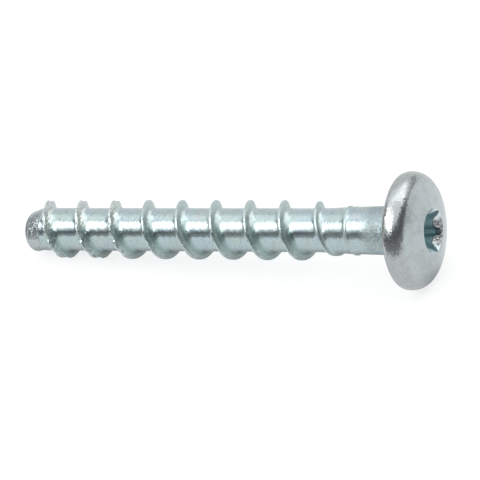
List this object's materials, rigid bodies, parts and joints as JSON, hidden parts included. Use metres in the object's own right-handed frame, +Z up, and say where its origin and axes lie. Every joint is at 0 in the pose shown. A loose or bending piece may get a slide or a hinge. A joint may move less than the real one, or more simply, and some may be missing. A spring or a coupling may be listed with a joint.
{
  "type": "concrete screw",
  "caption": "Plated steel concrete screw with a coarse saw-toothed cutting thread, a plain neck and a low domed pan head with a six-lobe drive recess, lying on its side.",
  "frame": {"origin": "centre of the bounding box, on the surface that the screw lies on", "axes": "+X from the tip towards the head, +Z up; the screw's own axis rises towards the head by about 4.3 degrees, as its head rim and its thread both touch the surface"},
  "size_m": [0.0568, 0.0146, 0.0146],
  "materials": {
    "plated_steel": "bright zinc plate, thin clear passivated film, roll marks along the thread"
  },
  "bodies": {
    "root": {"screw": "plated_steel"}
  },
  "joints": []
}
